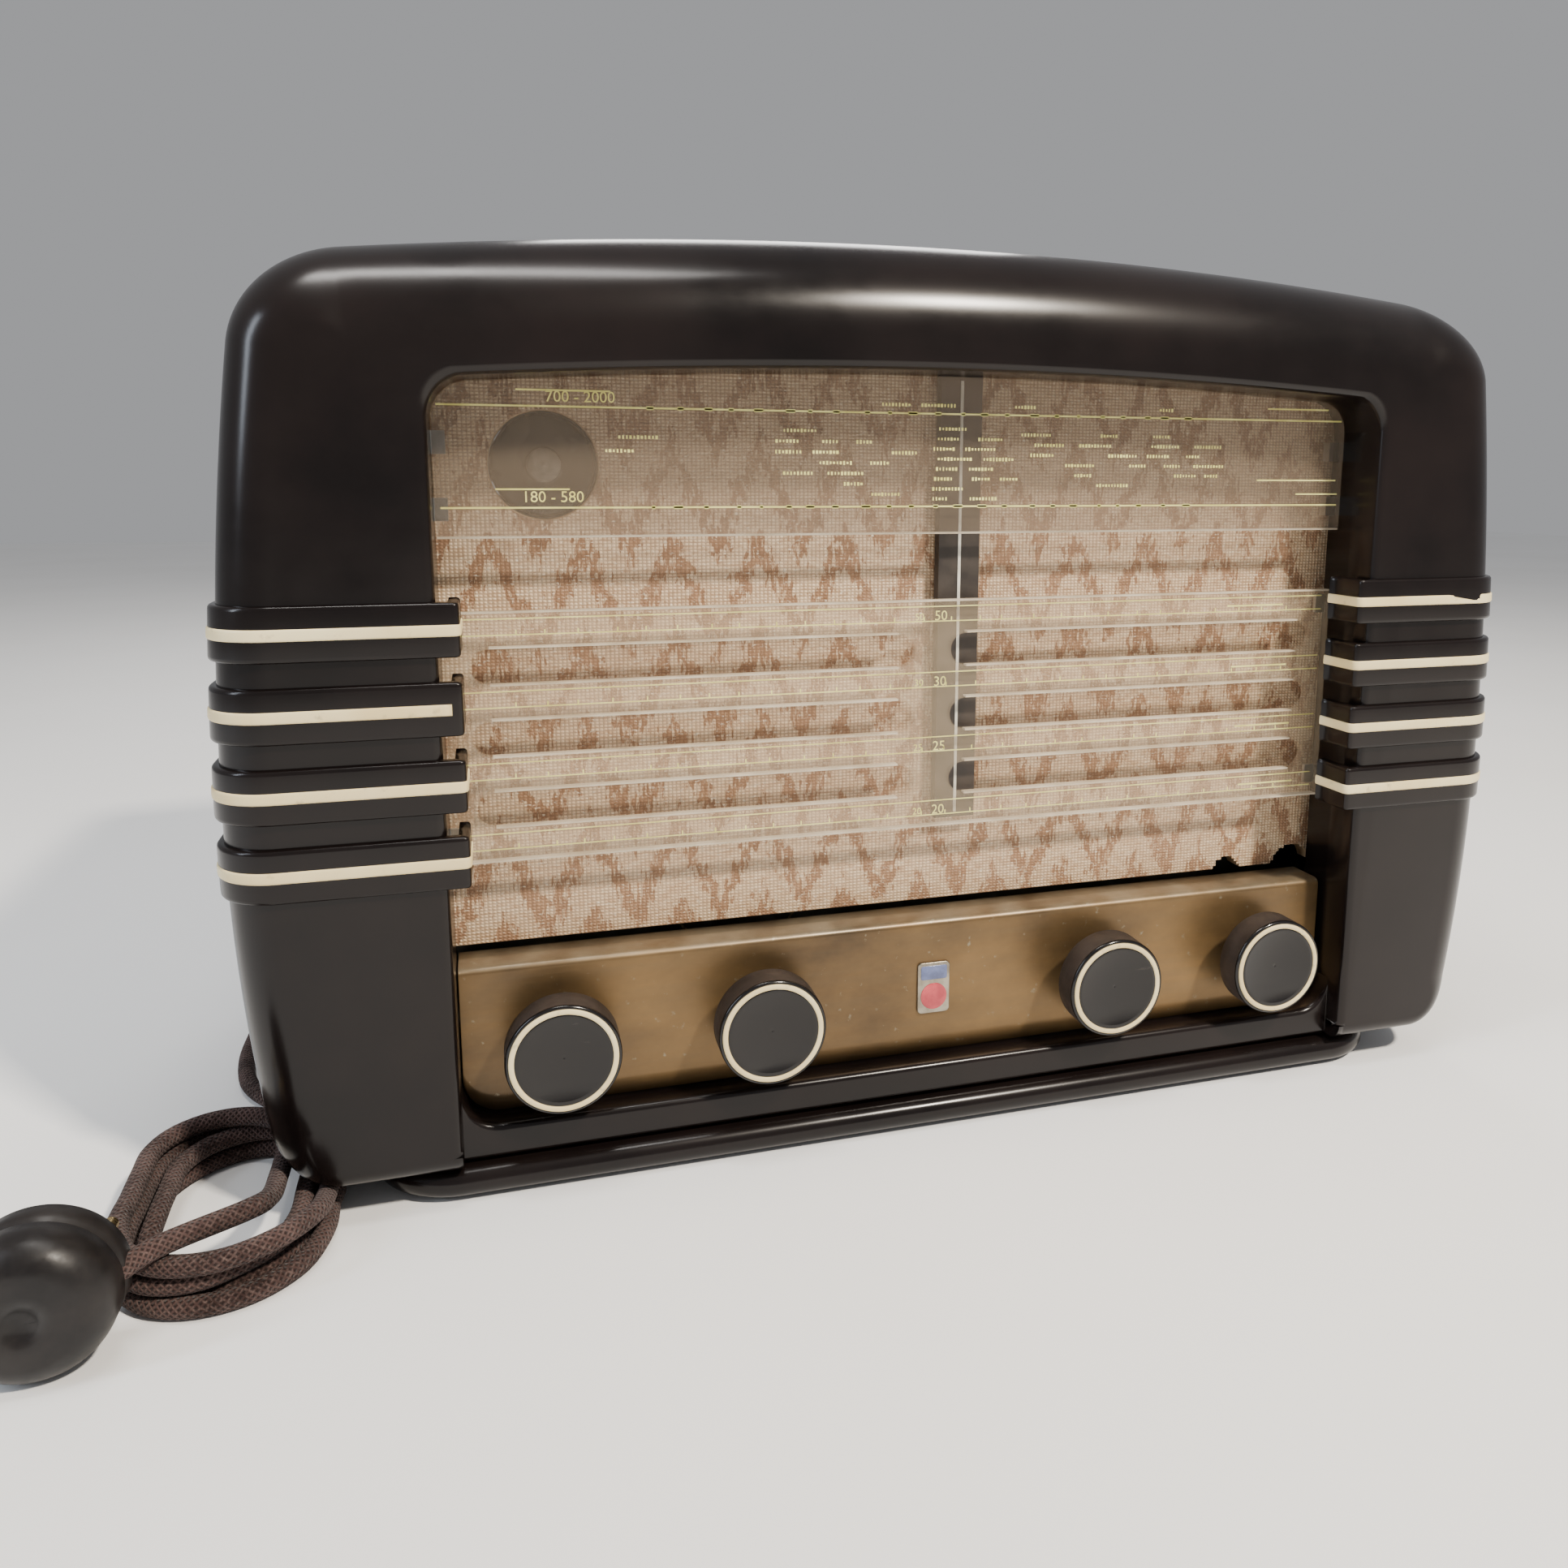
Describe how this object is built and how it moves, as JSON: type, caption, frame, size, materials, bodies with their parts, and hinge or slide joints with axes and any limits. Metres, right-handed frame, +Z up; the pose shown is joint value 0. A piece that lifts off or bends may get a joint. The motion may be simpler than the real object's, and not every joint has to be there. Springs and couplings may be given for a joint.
{
  "type": "tabletop radio",
  "caption": "Moulded dark tabletop valve radio with an arched scale window, sliding pointer, ribbed side columns, turning knobs and a coiled textile mains cord.",
  "frame": {"origin": "centre of the footprint, on the surface that the radio stands on (cord, coil and plug left out)", "axes": "+X to the right seen from the front, -Y towards the listener, +Z up"},
  "size_m": [0.5098, 0.3279, 0.302],
  "materials": {
    "bakelite": "satin",
    "ivory": "satin",
    "felt": "matt",
    "hardboard": "matt",
    "plywood": "matt",
    "grille": "woven",
    "clear_glass": "polished",
    "bronze_plate": "satin bronze lacquer",
    "enamel": "enamel",
    "steel": "zinc plated",
    "brass": "turned",
    "dark_metal": "matt",
    "white_line": "matt",
    "drive_cord": "waxed",
    "phenolic_brown": "matt",
    "drum_fibre": "matt",
    "aluminium": "drawn",
    "red_spray": "sprayed",
    "eye_glass": "polished",
    "lamp_glass": "polished",
    "magnet": "hammered",
    "cone_paper": "felted",
    "transformer_iron": "laminated",
    "cord_textile": "braided",
    "rubber": "matt",
    "plug_black": "satin"
  },
  "bodies": {
    "set": {"cabinet": "bakelite", "stripes_left": "ivory", "stripes_right": "ivory", "plinth": "bakelite", "felt_pads": "felt", "back_panel": "hardboard", "back_screws": "steel", "baffle_board": "plywood", "grille_cloth": "grille", "scale_glass": "clear_glass", "band_plate": "clear_glass", "glass_clips": "steel", "control_plate": "bronze_plate", "badge": "enamel", "pointer_rail": "steel", "pointer_cord": "drive_cord", "tuning_frame": "steel", "volume_control": "phenolic_brown", "tone_control": "phenolic_brown", "band_switch": "phenolic_brown", "chassis": "steel", "chassis_bolts": "steel", "mains_transformer": "transformer_iron", "output_transformer": "transformer_iron", "electrolytic_can": "aluminium", "if_cans": "aluminium", "valves": "red_spray", "valve_sockets": "phenolic_brown", "magic_eye": "eye_glass", "eye_holder": "steel", "scale_lamps": "lamp_glass", "speaker_basket": "dark_metal", "speaker_magnet": "magnet", "voltage_selector": "phenolic_brown", "aerial_sockets": "phenolic_brown", "cord_gland": "rubber", "mains_cord": "cord_textile", "cord_hank": "cord_textile", "plug_lead": "cord_textile", "mains_plug": "plug_black", "plug_pins": "brass"},
    "tuning_gang": {"cord_drum": "drum_fibre", "tuning_rotor": "brass"},
    "tuning_control": {"tuning_spindle": "brass", "knob_tuning": "bakelite", "ring_tuning": "ivory"},
    "pointer": {"pointer_bar": "dark_metal", "pointer_hairline": "white_line"},
    "left_pulley": {"pulley_left": "brass"},
    "right_pulley": {"pulley_right": "brass"},
    "volume": {"volume_shaft": "brass", "knob_volume": "bakelite", "ring_volume": "ivory"},
    "tone": {"tone_shaft": "brass", "knob_tone": "bakelite", "ring_tone": "ivory"},
    "wave_band": {"band_shaft": "brass", "knob_band": "bakelite", "ring_band": "ivory"},
    "diaphragm": {"speaker_cone": "cone_paper"}
  },
  "joints": [
    {"name": "tuning_gang_turn", "type": "hinge", "parent": "set", "child": "tuning_gang", "pos_m": [-0.066, -0.027, 0.158], "axis": [0, 1, 0], "range_deg": [-88, 88]},
    {"name": "tuning_knob_turn", "type": "hinge", "parent": "set", "child": "tuning_control", "pos_m": [-0.0628, -0.087, 0.047], "axis": [0, 1, 0], "range_deg": [-1270, 1270]},
    {"name": "pointer_travel", "type": "slide", "parent": "set", "child": "pointer", "axis": [1, 0, 0], "range_m": [-0.111, 0.111]},
    {"name": "left_pulley_turn", "type": "hinge", "parent": "set", "child": "left_pulley", "pos_m": [-0.15, -0.056, 0.272], "axis": [0, 1, 0], "range_deg": [-706, 706]},
    {"name": "right_pulley_turn", "type": "hinge", "parent": "set", "child": "right_pulley", "pos_m": [0.165, -0.056, 0.272], "axis": [0, 1, 0], "range_deg": [-706, 706]},
    {"name": "volume_knob_turn", "type": "hinge", "parent": "set", "child": "volume", "pos_m": [-0.1296, -0.087, 0.047], "axis": [0, 1, 0], "range_deg": [0, 285]},
    {"name": "tone_knob_turn", "type": "hinge", "parent": "set", "child": "tone", "pos_m": [0.0628, -0.087, 0.047], "axis": [0, 1, 0], "range_deg": [0, 270]},
    {"name": "wave_band_knob_turn", "type": "hinge", "parent": "set", "child": "wave_band", "pos_m": [0.1296, -0.087, 0.047], "axis": [0, 1, 0], "range_deg": [0, 150]},
    {"name": "diaphragm_travel", "type": "slide", "parent": "set", "child": "diaphragm", "axis": [0, 1, 0], "range_m": [-0.001, 0.001], "stiffness_N_per_m": 1500}
  ],
  "couplings": [
    {"joint": "tuning_knob_turn", "follows": "tuning_gang_turn", "ratio": 14.4},
    {"joint": "pointer_travel", "follows": "tuning_gang_turn", "m_per_rad": 0.072},
    {"joint": "left_pulley_turn", "follows": "tuning_gang_turn", "ratio": 8},
    {"joint": "right_pulley_turn", "follows": "tuning_gang_turn", "ratio": 8}
  ]
}
